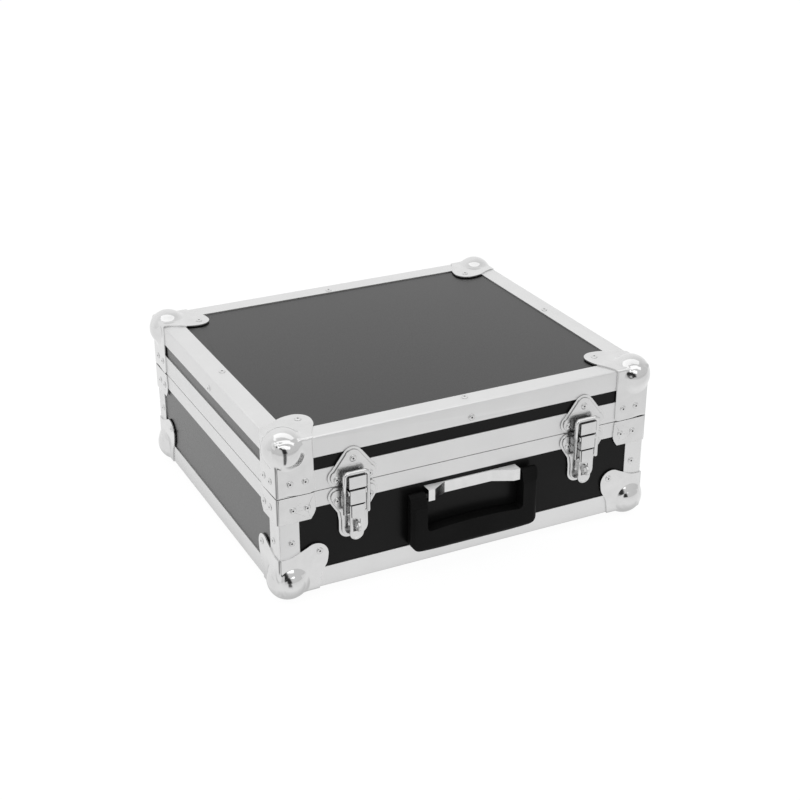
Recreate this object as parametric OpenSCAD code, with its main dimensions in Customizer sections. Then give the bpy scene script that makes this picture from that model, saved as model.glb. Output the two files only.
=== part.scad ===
// Flight case of laminated plywood with aluminium edging, ball corners, two toggle latches,
// a folding carrying handle and two stop hinges. All lengths are in millimetres, +Z is up and
// the front of the case faces -Y. The case stands on its four lower ball corners.

/* [Case] */
// outside width of the box over its edging, left to right
case_w = 384; // [320:1:460]
// outside depth of the box over its edging, front to back
case_d = 334; // [280:1:400]
// outside height of the closed box over its edging
case_h = 152; // [146:1:200]
// part of that height that belongs to the lid
lid_h = 53; // [48:1:58]
// thickness of the laminated plywood panels
panel_t = 7; // [5:0.5:9]

/* [Edging] */
// width of each leg of the aluminium edge angles
angle_w = 20; // [18:0.5:24]
// radius of the outer edge of the edge angles
edge_r = 1.6; // [1.2:0.1:2]
// sheet thickness of the edge angles and of the closing profiles
angle_t = 1.2; // [1:0.1:1.6]
// height of the closing profile on the base, seen from outside
base_rim_h = 16; // [14:0.5:20]
// height of the closing profile on the lid, seen from outside
lid_rim_h = 20.6; // [16:0.2:22]
// open line between the two closing profiles
parting_gap = 0.6; // [0.5:0.1:1]
// depth of the groove in the base profile that takes the tongue of the lid
groove_h = 4.2; // [3.6:0.1:5.4]
// how far the tongue of the lid reaches into that groove
tongue_h = 3; // [2:0.1:3.2]

/* [Corners] */
// sheet thickness of the steel corners
sheet_t = 1.2; // [1:0.1:1.5]
// outer radius of the ball in each corner
ball_r = 19.2; // [18.6:0.1:20]
// distance of the ball centre from the two upright faces
ball_in = 11.8; // [11.2:0.1:12.4]
// distance of the lower balls' centres from the bottom face
ball_up = 10.2; // [9.8:0.1:10.8]
// distance of the upper balls' centres from the top face
ball_down = 11.1; // [10.6:0.1:11.6]
// depth of the worn flat spot that each lower ball stands on
land_cut = 0.3; // [0.2:0.05:0.6]
// width of the corner flanges where they leave the edge of the case
flange_w = 40; // [37:0.5:43]
// distance of the round end of a corner tab from both edges
tab_in = 34.5; // [32:0.5:37]
// radius of the round end of a corner tab
tab_r = 12.6; // [11:0.1:14]
// width of the lid corner's upright flanges at their lower end
lid_flange_w = 35; // [33:0.2:36]
// height of the brace under each base corner's parting line
brace_h = 26; // [22:0.5:30]
// outer bend radius of the folded corner sheets
fold_r = 2.6; // [2:0.1:3.2]

/* [Rivets] */
// radius of a rivet head
head_r = 3.3; // [2.8:0.1:3.8]
// height of a rivet head
head_h = 1.3; // [1:0.1:1.6]
// radius of a rivet shank
shank_r = 1.6; // [1.3:0.1:1.9]
// length of a rivet shank below its head
shank_len = 6; // [5.4:0.1:6.8]

/* [Latches] */
// distance of each latch's centre line from the side of the case
latch_in = 72; // [68:1:90]
// wire diameter of the bail that hooks the lid
bail_wire = 4; // [3.4:0.1:4.2]
// half the width of the lever between the bail's legs
lever_half = 7.4; // [7:0.1:7.6]
// distance of the lever's axle below the parting line
lever_drop = 4.6; // [4.4:0.1:5.2]
// distance of the lever's axle in front of the face
lever_out = 8.8; // [8.4:0.1:9.4]
// distance from the lever's axle down to the bail's pivot
bail_drop = 20.5; // [18:0.5:22]
// radius of the padlock hole in the staple
eye_r = 2.5; // [2:0.1:2.8]

/* [Handle] */
// width over the two arms of the handle
handle_w = 134; // [124:1:144]
// width of each arm
arm_w = 16.5; // [14:0.5:18]
// distance from the pivot down to the lower edge of the grip
handle_drop = 55.2; // [50:0.2:58]
// height of the grip bar
grip_h = 24.2; // [20:0.2:26]
// thickness of the handle, front to back
handle_t = 11.7; // [10:0.1:12.4]
// distance of the handle's pivot below the parting line
pivot_drop = 28.5; // [27.5:0.5:31]
// diameter of the handle's pivot pins
handle_pin_d = 5; // [4:0.1:5.6]

/* [Hinges] */
// width of each hinge
hinge_w = 44; // [40:1:60]
// outer radius of the hinge knuckles
knuckle_r = 3.2; // [2.8:0.1:3.4]
// distance of the hinge axis behind the back face
hinge_out = 4.2; // [4:0.1:4.8]
// angle at which the two stop lips of a hinge hold the open lid
lid_stop = 97; // [92:1:104]

/* [Hidden] */

satin = [0.82, 0.83, 0.84];
bright = [0.9, 0.9, 0.92];
laminate = [0.09, 0.09, 0.1];
plastic = [0.05, 0.05, 0.05];
far = 60;

half_w = case_w / 2;
half_d = case_d / 2;
parting = case_h - lid_h;
fit = 0.1;

// panels: the outer face lies one sheet thickness behind the edging
skin = angle_t;
wall_in = skin + panel_t;
rim_in = wall_in + angle_t;
rim_lip = parting_gap / 2;
groove_floor = parting - rim_lip - groove_h;
base_wall_top = groove_floor - angle_t;
lid_wall_bottom = parting + rim_lip + angle_t;
lid_wall_top = case_h - wall_in;
inner_lip_h = 12;
tongue_in = skin + 1.4;
tongue_w = 2.8;
tongue_taper = 0.6;

// corners
ball_out = ball_r - ball_in;
base_lift = ball_r - ball_up - land_cut;
edging_stop = ball_in + ball_r - 3;
snip = 6;
flange_h = 37.4;
top_tab_r = tab_r + 0.9;
tab_rivet = tab_in + 2.5;
side_rivet = tab_in + 4;
pad_r = 4.6;
upright_rivet = 12.3;
upright_rivet_drop = 16;

// latches
latch_x = half_w - latch_in;
plate_t = 2.4;
plate_step = 1.2;
edge_step = 2.6;
lobe_x = 16;
keeper_low = 7.5;
keeper_high = 25.5;
plate_low = 13.3;
tail_half = 14.2;
tail_end = 52.7;
sheet_l = 1.2;
ear_gap = 0.35;
ear_in = lever_half + ear_gap;
axle_r = 1.5;
axle_end = ear_in + sheet_l;
ear_r = 3;
cheek_back = lever_out - 5;
cheek_front = lever_out + 2.2;
lever_front = lever_out + 3.4;
block_front = lever_front - 0.3;
block_half = lever_half - 1.5;
cap_r = 4.4;
step_drop = 15.2;
step_gap = 1;
bail_z = parting - lever_drop - bail_drop;
bail_half = ear_in + sheet_l + 0.35 + bail_wire / 2;
arch_z = parting + 12.4 + bail_wire / 2;
hook_top = arch_z - bail_wire / 2 - 0.5;
hook_half = lever_half + 0.9;
hook_low = 0.4;
stub_r = 1.2;
stub_in = block_half + 0.1;
eye_drop = 38.5;
eye_z = parting - eye_drop;
eye_out = lever_out + 2.4;
eye_rim = 2.3;
staple_t = 2.5;
low_front = lever_out - 0.3;
low_half = 6.2;
tab_drop = 46.5;
tab_z = parting - tab_drop;
lever_tab_r = 6.8;

// handle
pivot_z = parting - pivot_drop;
pivot_out = 4.6;
handle_back = 0.8;
handle_low = pivot_z - handle_drop;
arm_in = handle_w / 2 - arm_w;
cup_out = arm_in - 2.5;
cup_w = 6.5;
cup_front = 9;
cup_top = pivot_z + 7.6;
cup_h = 11.4;
ramp_left = cup_out - 21;
ramp_right = cup_out - 25.5;
pin_gap = 0.2;
pin_in = cup_out - sheet_l - 2;
pin_end = arm_in + 10;
arm_top_r = 5;

// hinges
hinge_x = half_w - latch_in;
leaf_t = 1.2;
knuckle_gap = 0.3;
hinge_pin_r = 1.6;
leaf_drop = 3.8;
base_leaf_h = 15;
lid_leaf_h = 16;
lip_reach = 11;
lip_w = 6;
base_lip_angle = lid_stop / 2;
lid_lip_angle = lid_stop - base_lip_angle;
lip_clear = 0.7;
leaf_rivet = hinge_w / 2 - lip_w - head_r - lip_clear;

// where the whole case sits: its box is centred on the Z axis and stands on z = 0
front_reach = max(eye_out + eye_r + eye_rim, handle_back + handle_t, ball_out);
back_reach = max(hinge_out + lip_reach * cos(base_lip_angle), hinge_out + lip_reach * cos(lid_lip_angle));
shift_y = (front_reach - back_reach) / 2;

module placed() {
    translate([0, shift_y, base_lift]) children();
}

// each face: local x runs along the face, local y is up and local z points out of the face
module on_front() {
    translate([0, -half_d, 0]) rotate([90, 0, 0]) children();
}
module on_back() {
    rotate([0, 0, 180]) on_front() children();
}
module on_left() {
    rotate([0, 0, -90]) translate([0, -half_w, 0]) rotate([90, 0, 0]) children();
}
module on_right() {
    rotate([0, 0, 90]) translate([0, -half_w, 0]) rotate([90, 0, 0]) children();
}
module on_top() {
    translate([0, 0, case_h]) children();
}
module on_bottom() {
    rotate([180, 0, 0]) children();
}

// rivets: each spot is [along the face, up the face, height of the surface under the head]
module rivet() {
    difference() {
        union() {
            cylinder(r1 = head_r, r2 = head_r - 1, h = head_h, $fn = 32);
            translate([0, 0, -shank_len]) cylinder(r = shank_r, h = shank_len + head_h / 2, $fn = 24);
        }
        translate([0, 0, head_h - 0.9]) cylinder(r = 1.1, h = 2, $fn = 24);
    }
}
module rivet_hole() {
    translate([0, 0, -shank_len - 0.2]) cylinder(r = shank_r + fit, h = shank_len + 3, $fn = 24);
}
module at_spots(spots) {
    for (s = spots)
        translate([s[0], s[1], s[2]]) children();
}
function base_corner_spots(half) = [for (s = [-1, 1]) each [
    [s * (half - 14), parting - 13.5, sheet_t],
    [s * (half - 27.8), parting - 13.8, sheet_t],
    [s * (half - upright_rivet), (parting + flange_h) / 2 - upright_rivet_drop, 0],
    [s * (half - side_rivet), side_rivet + 0.2, sheet_t]]];
function lid_corner_spots(half) = [for (s = [-1, 1]) each [
    [s * (half - 12), parting + 13, sheet_t],
    [s * (half - 26.5), parting + 12.6, sheet_t]]];
function edge_spot(up) = [[0, up, 0]];
latch_base_spots = [for (s = [-1, 1], k = [-1, 1]) [s * latch_x + k * lobe_x, parting - plate_low, plate_t]];
keeper_spots = [for (s = [-1, 1]) each [
    [s * latch_x - lobe_x, parting + keeper_low, plate_t],
    [s * latch_x + lobe_x, parting + keeper_low, plate_t],
    [s * latch_x, parting + keeper_high, plate_t]]];
bracket_spots = [for (s = [-1, 1]) [s * ramp_right / 2, cup_top - cup_h / 2, 0]];
leaf_base_spots = [for (s = [-1, 1], k = [-1, 1]) [s * hinge_x + k * leaf_rivet, parting - 10, leaf_t]];
leaf_lid_spots = [for (s = [-1, 1], k = [-1, 1]) [s * hinge_x + k * leaf_rivet, parting + 11, leaf_t]];
base_front_spots = concat(base_corner_spots(half_w), latch_base_spots);
base_back_spots = concat(base_corner_spots(half_w), leaf_base_spots);
base_side_spots = base_corner_spots(half_d);
lid_front_spots = concat(lid_corner_spots(half_w), keeper_spots, edge_spot(case_h - 14.4));
lid_back_spots = concat(lid_corner_spots(half_w), leaf_lid_spots, edge_spot(case_h - 14.4));
lid_side_spots = concat(lid_corner_spots(half_d), edge_spot(case_h - 14.4));
flat_tab_spots = [for (s = [-1, 1], k = [-1, 1])
    [s * (half_w - tab_rivet), k * (half_d - tab_rivet), sheet_t]];
flat_edge_spots = [[0, half_d - 14, 0], [0, 14 - half_d, 0], [half_w - 14, 0, 0], [14 - half_w, 0, 0]];
flat_spots = concat(flat_tab_spots, flat_edge_spots);

module bracket_screw() {
    // driven from inside the case, it ends inside the sheet of the bracket
    run = wall_in - 0.5;
    translate([0, 0, -wall_in]) cylinder(r = shank_r, h = run, $fn = 24);
    translate([0, 0, -wall_in - head_h]) cylinder(r1 = head_r - 1, r2 = head_r, h = head_h, $fn = 32);
}
module bracket_screw_hole() {
    translate([0, 0, -2 * wall_in]) cylinder(r = shank_r + fit, h = 2 * wall_in - 0.4, $fn = 24);
}
module base_front_holes() {
    on_front() at_spots(base_front_spots) rivet_hole();
    on_front() at_spots(bracket_spots) bracket_screw_hole();
}
module base_back_holes() {
    on_back() at_spots(base_back_spots) rivet_hole();
}
module base_left_holes() {
    on_left() at_spots(base_side_spots) rivet_hole();
}
module base_right_holes() {
    on_right() at_spots(base_side_spots) rivet_hole();
}
module bottom_holes() {
    on_bottom() at_spots(flat_spots) rivet_hole();
}
module base_holes() {
    base_front_holes();
    base_back_holes();
    base_left_holes();
    base_right_holes();
    bottom_holes();
}
module lid_front_holes() {
    on_front() at_spots(lid_front_spots) rivet_hole();
}
module lid_back_holes() {
    on_back() at_spots(lid_back_spots) rivet_hole();
}
module lid_left_holes() {
    on_left() at_spots(lid_side_spots) rivet_hole();
}
module lid_right_holes() {
    on_right() at_spots(lid_side_spots) rivet_hole();
}
module top_holes() {
    on_top() at_spots(flat_spots) rivet_hole();
}
module lid_holes() {
    lid_front_holes();
    lid_back_holes();
    lid_left_holes();
    lid_right_holes();
    top_holes();
}

// panels
module board(w, d, h, z) {
    translate([-w / 2, -d / 2, z]) cube([w, d, h]);
}
module snipped_board(z) {
    difference() {
        board(case_w - 2 * skin, case_d - 2 * skin, panel_t, z);
        for (sx = [-1, 1], sy = [-1, 1])
            translate([sx * half_w, sy * half_d, z + panel_t / 2])
                cube([2 * snip, 2 * snip, panel_t + 1], center = true);
    }
}
module long_wall(z0, z1) {
    translate([-half_w + skin, -half_d + skin, z0]) cube([case_w - 2 * skin, panel_t, z1 - z0]);
}
module short_wall(z0, z1) {
    translate([-half_w + skin, -half_d + wall_in, z0]) cube([panel_t, case_d - 2 * wall_in, z1 - z0]);
}

// closing profiles: drawn as [distance in from the face, height], mitred at both ends
module base_rim_section() {
    low = parting - base_rim_h;
    high = parting - rim_lip;
    polygon([[0, low], [angle_t, low], [angle_t, base_wall_top], [wall_in, base_wall_top],
        [wall_in, parting - inner_lip_h], [rim_in, parting - inner_lip_h], [rim_in, high], [wall_in, high],
        [wall_in, groove_floor], [angle_t, groove_floor], [angle_t, high], [0, high]]);
}
module lid_rim_section() {
    low = parting + rim_lip;
    high = parting + lid_rim_h;
    tip = low - tongue_h;
    polygon([[0, low], [tongue_in, low], [tongue_in + tongue_taper, tip],
        [tongue_in + tongue_w - tongue_taper, tip], [tongue_in + tongue_w, low], [rim_in, low],
        [rim_in, parting + inner_lip_h], [wall_in, parting + inner_lip_h], [wall_in, lid_wall_bottom],
        [angle_t, lid_wall_bottom], [angle_t, high], [0, high]]);
}
module mitred_bar(half) {
    // the section stands on the front face of a side whose half length is given
    intersection() {
        translate([-half, 0, 0]) rotate([90, 0, 90]) linear_extrude(height = 2 * half) children();
        linear_extrude(height = 2 * case_h)
            polygon([[-half, 0], [half, 0], [half - rim_in, rim_in], [rim_in - half, rim_in]]);
    }
}
module front_bar() {
    translate([0, -half_d, 0]) mitred_bar(half_w) children();
}
module side_bar() {
    rotate([0, 0, -90]) translate([0, -half_w, 0]) mitred_bar(half_d) children();
}

// edge angles: a leg on each of the two faces that meet at the edge
module angle_section() {
    difference() {
        union() {
            square([angle_t, angle_w]);
            square([angle_w, angle_t]);
        }
        difference() {
            translate([-1, -1]) square(edge_r + 1);
            translate([edge_r, edge_r]) circle(r = edge_r, $fn = 48);
        }
    }
}
module edge_angle(half) {
    run = 2 * (half - edging_stop);
    translate([-run / 2, 0, 0]) rotate([90, 0, 90]) linear_extrude(height = run) angle_section();
}
module front_angle() {
    translate([0, -half_d, 0]) edge_angle(half_w);
}
module side_angle() {
    rotate([0, 0, -90]) translate([0, -half_w, 0]) edge_angle(half_d);
}
module upright() {
    low = ball_up + ball_r - 2;
    run = parting - base_rim_h - low;
    translate([-half_w, -half_d, low]) linear_extrude(height = run) angle_section();
}

// corner flange outlines, measured from the edges of the case
module base_flange() {
    union() {
        polygon([[-sheet_t, -sheet_t], [flange_w - 2.3, -sheet_t], [flange_w - 1.4, 9],
            [flange_w - 0.1, 15.6], [flange_w + 3, 20.6], [flange_w + 6, 25.6],
            [tab_in + tab_r, tab_in], [tab_in, tab_in], [tab_in - 0.7 * tab_r, tab_in + 0.7 * tab_r],
            [angle_w, flange_h + 3.6], [angle_w - 5.5, flange_h + 1.3], [angle_w - 11.5, flange_h - 0.3],
            [-sheet_t, flange_h - 0.4]]);
        translate([tab_in, tab_in]) circle(r = tab_r, $fn = 64);
    }
}
module flat_flange() {
    union() {
        polygon([[-sheet_t, -sheet_t], [flange_w - 5, -sheet_t], [flange_w - 4, 4], [flange_w - 1, 11],
            [flange_w + 2.4, 16.8], [flange_w + 6, 22.4], [tab_in + top_tab_r, tab_in], [tab_in, tab_in],
            [tab_in, tab_in + top_tab_r], [22.4, flange_w + 6], [16.8, flange_w + 2.4],
            [11, flange_w - 1], [4, flange_w - 4], [-sheet_t, flange_w - 5]]);
        translate([tab_in, tab_in]) circle(r = top_tab_r, $fn = 64);
    }
}
module lid_flange() {
    foot = 4.4;
    run = lid_h - rim_lip;
    union() {
        polygon([[-sheet_t, -sheet_t], [lid_flange_w, -sheet_t], [lid_flange_w, run - foot],
            [lid_flange_w - foot, run - foot], [lid_flange_w - foot, run], [-sheet_t, run]]);
        translate([lid_flange_w - foot, run - foot]) circle(r = foot, $fn = 32);
    }
}
module brace_outline() {
    // drawn downwards from the parting line
    polygon([[-sheet_t, rim_lip], [lid_flange_w, rim_lip], [flange_w - 4, brace_h / 2],
        [flange_w - 4, brace_h - 9], [flange_w - 5.6, brace_h - 5], [flange_w - 9, brace_h],
        [-sheet_t, brace_h]]);
}
module fold_cut(run) {
    // removes the sharp outer edge along the local z axis
    translate([0, 0, -far / 2]) linear_extrude(height = run) difference() {
        translate([-sheet_t - 1, -sheet_t - 1]) square(fold_r + 1);
        translate([fold_r - sheet_t, fold_r - sheet_t]) circle(r = fold_r, $fn = 48);
    }
}

// a ball corner, drawn at the lower front left corner of a case with its edges on the axes
module flanges() {
    // upright flange on the front face, on the side face and the flat flange below
    rotate([90, 0, 0]) linear_extrude(height = sheet_t) children(0);
    mirror([1, -1, 0]) rotate([90, 0, 0]) linear_extrude(height = sheet_t) children(0);
    translate([0, 0, -sheet_t]) linear_extrude(height = sheet_t) children(1);
}
module ball_corner(depth) {
    ball_at = [ball_in, ball_in, depth];
    difference() {
        union() {
            difference() {
                flanges() {
                    children(0);
                    children(1);
                }
                translate(ball_at - [far, far, far]) cube(far);
                fold_cut(2 * far);
                rotate([90, 0, 90]) fold_cut(2 * far);
                mirror([1, -1, 0]) rotate([90, 0, 90]) fold_cut(2 * far);
            }
            difference() {
                translate(ball_at) sphere(r = ball_r, $fn = 96);
                difference() {
                    cube(far);
                    translate([-1, -1, -1]) cube(ball_at + [1, 1, 1]);
                }
            }
            children(2);
        }
        translate(ball_at) sphere(r = ball_r - sheet_t, $fn = 96);
    }
}
module pad(at) {
    // stands the flange off the panel, which lies behind the edging
    translate([at, 0, at + 0.2]) rotate([-90, 0, 0]) cylinder(r = pad_r, h = skin, $fn = 32);
}
module base_corner() {
    difference() {
        translate([-half_w, -half_d, 0]) ball_corner(ball_up) {
            base_flange();
            flat_flange();
            union() {
                pad(side_rivet);
                mirror([1, -1, 0]) pad(side_rivet);
                translate([tab_rivet, tab_rivet, 0]) cylinder(r = pad_r, h = skin, $fn = 32);
            }
        }
        translate([-half_w - far / 2, -half_d - far / 2, -base_lift - far]) cube(far);
    }
}
module lid_corner() {
    // the same corner turned upside down
    translate([0, 0, case_h]) mirror([0, 0, 1]) translate([-half_w, -half_d, 0]) ball_corner(ball_down) {
        lid_flange();
        flat_flange();
        translate([tab_rivet, tab_rivet, 0]) cylinder(r = pad_r, h = skin, $fn = 32);
    }
}
module brace() {
    translate([-half_w, -half_d, parting]) difference() {
        mirror([0, 0, 1]) union() {
            rotate([90, 0, 0]) linear_extrude(height = sheet_t) brace_outline();
            mirror([1, -1, 0]) rotate([90, 0, 0]) linear_extrude(height = sheet_t) brace_outline();
        }
        fold_cut(2 * far);
    }
}

module to_fr() {
    mirror([1, 0, 0]) children();
}
module to_bl() {
    mirror([0, 1, 0]) children();
}
module to_br() {
    rotate([0, 0, 180]) children();
}

// base nodes
module base_floor() color(laminate) placed() difference() {
    snipped_board(skin);
    bottom_holes();
}
module base_front_panel() color(laminate) placed() difference() {
    long_wall(wall_in, base_wall_top);
    base_front_holes();
}
module base_back_panel() color(laminate) placed() difference() {
    to_bl() long_wall(wall_in, base_wall_top);
    base_back_holes();
}
module base_left_panel() color(laminate) placed() difference() {
    short_wall(wall_in, base_wall_top);
    base_left_holes();
}
module base_right_panel() color(laminate) placed() difference() {
    to_fr() short_wall(wall_in, base_wall_top);
    base_right_holes();
}
module base_front_rim() color(satin) placed() difference() {
    front_bar() base_rim_section();
    base_front_holes();
}
module base_back_rim() color(satin) placed() difference() {
    to_bl() front_bar() base_rim_section();
    base_back_holes();
}
module base_left_rim() color(satin) placed() difference() {
    side_bar() base_rim_section();
    base_left_holes();
}
module base_right_rim() color(satin) placed() difference() {
    to_fr() side_bar() base_rim_section();
    base_right_holes();
}
module base_front_angle() color(satin) placed() difference() {
    front_angle();
    bottom_holes();
}
module base_back_angle() color(satin) placed() difference() {
    to_bl() front_angle();
    bottom_holes();
}
module base_left_angle() color(satin) placed() difference() {
    side_angle();
    bottom_holes();
}
module base_right_angle() color(satin) placed() difference() {
    to_fr() side_angle();
    bottom_holes();
}
module base_uprights() color(satin) placed() difference() {
    union() {
        upright();
        to_fr() upright();
        to_bl() upright();
        to_br() upright();
    }
    base_holes();
}
module base_corner_fl() color(bright) placed() difference() {
    base_corner();
    base_holes();
}
module base_corner_fr() color(bright) placed() difference() {
    to_fr() base_corner();
    base_holes();
}
module base_corner_bl() color(bright) placed() difference() {
    to_bl() base_corner();
    base_holes();
}
module base_corner_br() color(bright) placed() difference() {
    to_br() base_corner();
    base_holes();
}
module corner_braces() color(bright) placed() difference() {
    union() {
        brace();
        to_fr() brace();
        to_bl() brace();
        to_br() brace();
    }
    base_holes();
}
module base_rivets() color(bright) placed() {
    on_front() at_spots(base_front_spots) rivet();
    on_front() at_spots(bracket_spots) bracket_screw();
    on_back() at_spots(base_back_spots) rivet();
    on_left() at_spots(base_side_spots) rivet();
    on_right() at_spots(base_side_spots) rivet();
    on_bottom() at_spots(flat_spots) rivet();
}

// latches, drawn in the face frame of the front: x across, y up, z out of the face
module at_latch(side) {
    on_front() translate([side * latch_x, 0, 0]) children();
}
module keeper_outline(edge) {
    union() {
        polygon([[edge - 19, 1 + edge], [19 - edge, 1 + edge], [24.2 - edge, 9],
            [22 - edge, 14.5 - edge / 2], [9.2 - edge, 31.5 - edge / 2], [edge - 9.2, 31.5 - edge / 2],
            [edge - 22, 14.5 - edge / 2], [edge - 24.2, 9]]);
        translate([0, 26]) circle(r = 10.4 - edge, $fn = 64);
        translate([15.7, 9.4]) circle(r = 8.5 - edge, $fn = 48);
        translate([-15.7, 9.4]) circle(r = 8.5 - edge, $fn = 48);
    }
}
module plate_outline(edge) {
    union() {
        polygon([[edge - 19, -1 - edge], [19 - edge, -1 - edge], [24.2 - edge, -10], [22.4 - edge, -15],
            [15.4 - edge, -26], [tail_half - edge, -34], [tail_half - edge, 9 - tail_end],
            [edge - tail_half, 9 - tail_end], [edge - tail_half, -34], [edge - 15.4, -26],
            [edge - 22.4, -15], [edge - 24.2, -10]]);
        translate([15.7, -9.6]) circle(r = 8.5 - edge, $fn = 48);
        translate([-15.7, -9.6]) circle(r = 8.5 - edge, $fn = 48);
        translate([tail_half - 9, 9 - tail_end]) circle(r = 9 - edge, $fn = 48);
        translate([9 - tail_half, 9 - tail_end]) circle(r = 9 - edge, $fn = 48);
        translate([9 - tail_half, edge - tail_end]) square([2 * tail_half - 18, 9]);
    }
}
module stepped_plate() {
    linear_extrude(height = plate_step) children(0);
    linear_extrude(height = plate_t) children(1);
}
module keeper() {
    translate([0, parting, 0]) stepped_plate() {
        keeper_outline(0);
        keeper_outline(edge_step);
    }
    // hook block: front plate, two cheeks and the ledge that the bail pulls on
    low = parting + hook_low;
    root = parting + 1.2;
    for (s = [-1, 1]) translate([s * (hook_half - sheet_l / 2) - sheet_l / 2, 0, 0]) {
        translate([0, low, plate_t]) cube([sheet_l, hook_top - low, lever_front - plate_t]);
        translate([0, root, plate_t / 2]) cube([sheet_l, hook_top - root, plate_t]);
    }
    translate([-hook_half, low, lever_front - sheet_l])
        cube([2 * hook_half, hook_top - low, sheet_l]);
    translate([-hook_half, hook_top - sheet_l, plate_t / 2])
        cube([2 * hook_half, sheet_l, lever_front - plate_t / 2]);
}
module latch_plate() {
    difference() {
        union() {
            translate([0, parting, 0]) stepped_plate() {
                plate_outline(0);
                plate_outline(edge_step);
            }
            // two ears carry the axle of the lever
            for (s = [-1, 1])
                translate([s * (ear_in + sheet_l / 2), parting - lever_drop, 0]) {
                    translate([0, 0, lever_out]) rotate([0, 90, 0])
                        cylinder(r = ear_r, h = sheet_l, center = true, $fn = 32);
                    translate([-sheet_l / 2, -ear_r, 0]) cube([sheet_l, 2 * ear_r, lever_out]);
                }
            // a spacer stands the tail off the panel
            translate([0, parting - tail_end + 16, -skin]) cylinder(r = 7, h = skin + 0.5, $fn = 48);
        }
        translate([0, parting - lever_drop, lever_out]) rotate([0, 90, 0])
            cylinder(r = axle_r + fit, h = far, center = true, $fn = 32);
    }
}
module staple() {
    translate([0, eye_z, 0]) difference() {
        union() {
            translate([-staple_t / 2, -eye_r - eye_rim, plate_t])
                cube([staple_t, 2 * (eye_r + eye_rim), eye_out - plate_t]);
            translate([0, 0, eye_out]) rotate([0, 90, 0])
                cylinder(r = eye_r + eye_rim, h = staple_t, center = true, $fn = 48);
        }
        translate([0, 0, eye_out]) rotate([0, 90, 0])
            cylinder(r = eye_r, h = 2 * staple_t, center = true, $fn = 48);
    }
}
module axle() {
    translate([0, parting - lever_drop, lever_out]) rotate([0, 90, 0])
        cylinder(r = axle_r, h = 2 * axle_end, center = true, $fn = 32);
}
module cap_side(wall) {
    // the lever's head seen from the side, drawn as [up, out]; its hollow is drawn with a wall
    axle_z = parting - lever_drop;
    back = cheek_back - wall;
    deep = lever_front - wall - back;
    union() {
        translate([parting - step_drop - wall, back]) square([step_drop - lever_drop + wall, deep]);
        intersection() {
            translate([axle_z, lever_out]) circle(r = cap_r - wall, $fn = 64);
            translate([axle_z - 1, back]) square([cap_r + 2, deep]);
        }
    }
}
module across(half) {
    // a profile drawn as [up, out] runs across the latch
    translate([-half, 0, 0]) rotate([90, 0, 90]) linear_extrude(height = 2 * half) children();
}
module lever() {
    step_z = parting - step_drop;
    block_top = step_z - step_gap;
    cheek_low = bail_z - 4;
    floor_z = low_front - sheet_l;
    difference() {
        union() {
            // head: two cheeks and the sheet that runs over the axle
            difference() {
                across(lever_half) cap_side(0);
                across(lever_half - sheet_l) cap_side(sheet_l);
            }
            translate([-lever_half, step_z, low_front - sheet_l / 2])
                cube([2 * lever_half, sheet_l, lever_front - low_front]);
            // middle: two cheeks, the floor and the raised block on it
            for (s = [-1, 1])
                translate([s * (lever_half - sheet_l / 2) - sheet_l / 2, cheek_low, cheek_back])
                    cube([sheet_l, step_z + 1 - cheek_low, cheek_front - cheek_back]);
            translate([-lever_half, cheek_low, floor_z])
                cube([2 * lever_half, step_z + sheet_l - cheek_low, sheet_l]);
            translate([-block_half, cheek_low, floor_z])
                cube([2 * block_half, block_top - cheek_low, block_front - floor_z]);
            // tail: the finger tab with a rolled lower edge
            translate([-low_half, tab_z, floor_z])
                cube([2 * low_half, cheek_low - tab_z + 1, sheet_l]);
            translate([0, tab_z, floor_z]) cylinder(r = lever_tab_r, h = sheet_l, $fn = 48);
            translate([0, tab_z - lever_tab_r + 1.6, low_front - sheet_l / 2]) rotate([0, 90, 0])
                cylinder(r = 1.1, h = 6, center = true, $fn = 24);
        }
        // the block is open at its back
        translate([sheet_l - block_half, cheek_low + sheet_l, floor_z - 1])
            cube([2 * (block_half - sheet_l), block_top - cheek_low - 2 * sheet_l, block_front - floor_z]);
        // slot for the padlock eye
        translate([-3.6, eye_z - 6.2, 0]) cube([7.2, 11.8, far]);
        translate([0, parting - lever_drop, lever_out]) rotate([0, 90, 0])
            cylinder(r = axle_r + 0.2, h = far, center = true, $fn = 32);
        for (s = [-1, 1])
            translate([s * (stub_in - 0.2 + far / 2), bail_z, lever_out]) rotate([0, 90, 0])
                cylinder(r = stub_r + 0.2, h = far, center = true, $fn = 32);
    }
}
module bail() {
    r = bail_wire / 2;
    bend = r + 1.6;
    for (s = [-1, 1]) {
        translate([s * bail_half, bail_z, lever_out]) sphere(r = r, $fn = 48);
        translate([s * bail_half, bail_z, lever_out]) rotate([-90, 0, 0])
            cylinder(r = r, h = arch_z - bend - bail_z, $fn = 48);
        translate([s * (bail_half + stub_in) / 2, bail_z, lever_out]) rotate([0, 90, 0])
            cylinder(r = stub_r, h = bail_half - stub_in, center = true, $fn = 32);
        translate([s * (bail_half - bend), arch_z - bend, lever_out]) rotate([0, 0, s > 0 ? 0 : 90])
            rotate_extrude(angle = 90, $fn = 96) translate([bend, 0]) circle(r = r, $fn = 48);
    }
    translate([0, arch_z, lever_out]) rotate([0, 90, 0])
        cylinder(r = r, h = 2 * (bail_half - bend), center = true, $fn = 48);
}
module latch_plate_left() color(bright) placed() difference() {
    at_latch(-1) latch_plate();
    base_front_holes();
}
module latch_plate_right() color(bright) placed() difference() {
    at_latch(1) latch_plate();
    base_front_holes();
}
module latch_staple_left() color(bright) placed() at_latch(-1) staple();
module latch_staple_right() color(bright) placed() at_latch(1) staple();
module latch_axles() color(bright) placed() {
    at_latch(-1) axle();
    at_latch(1) axle();
}
module latch_lever_left() color(bright) placed() at_latch(-1) lever();
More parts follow.
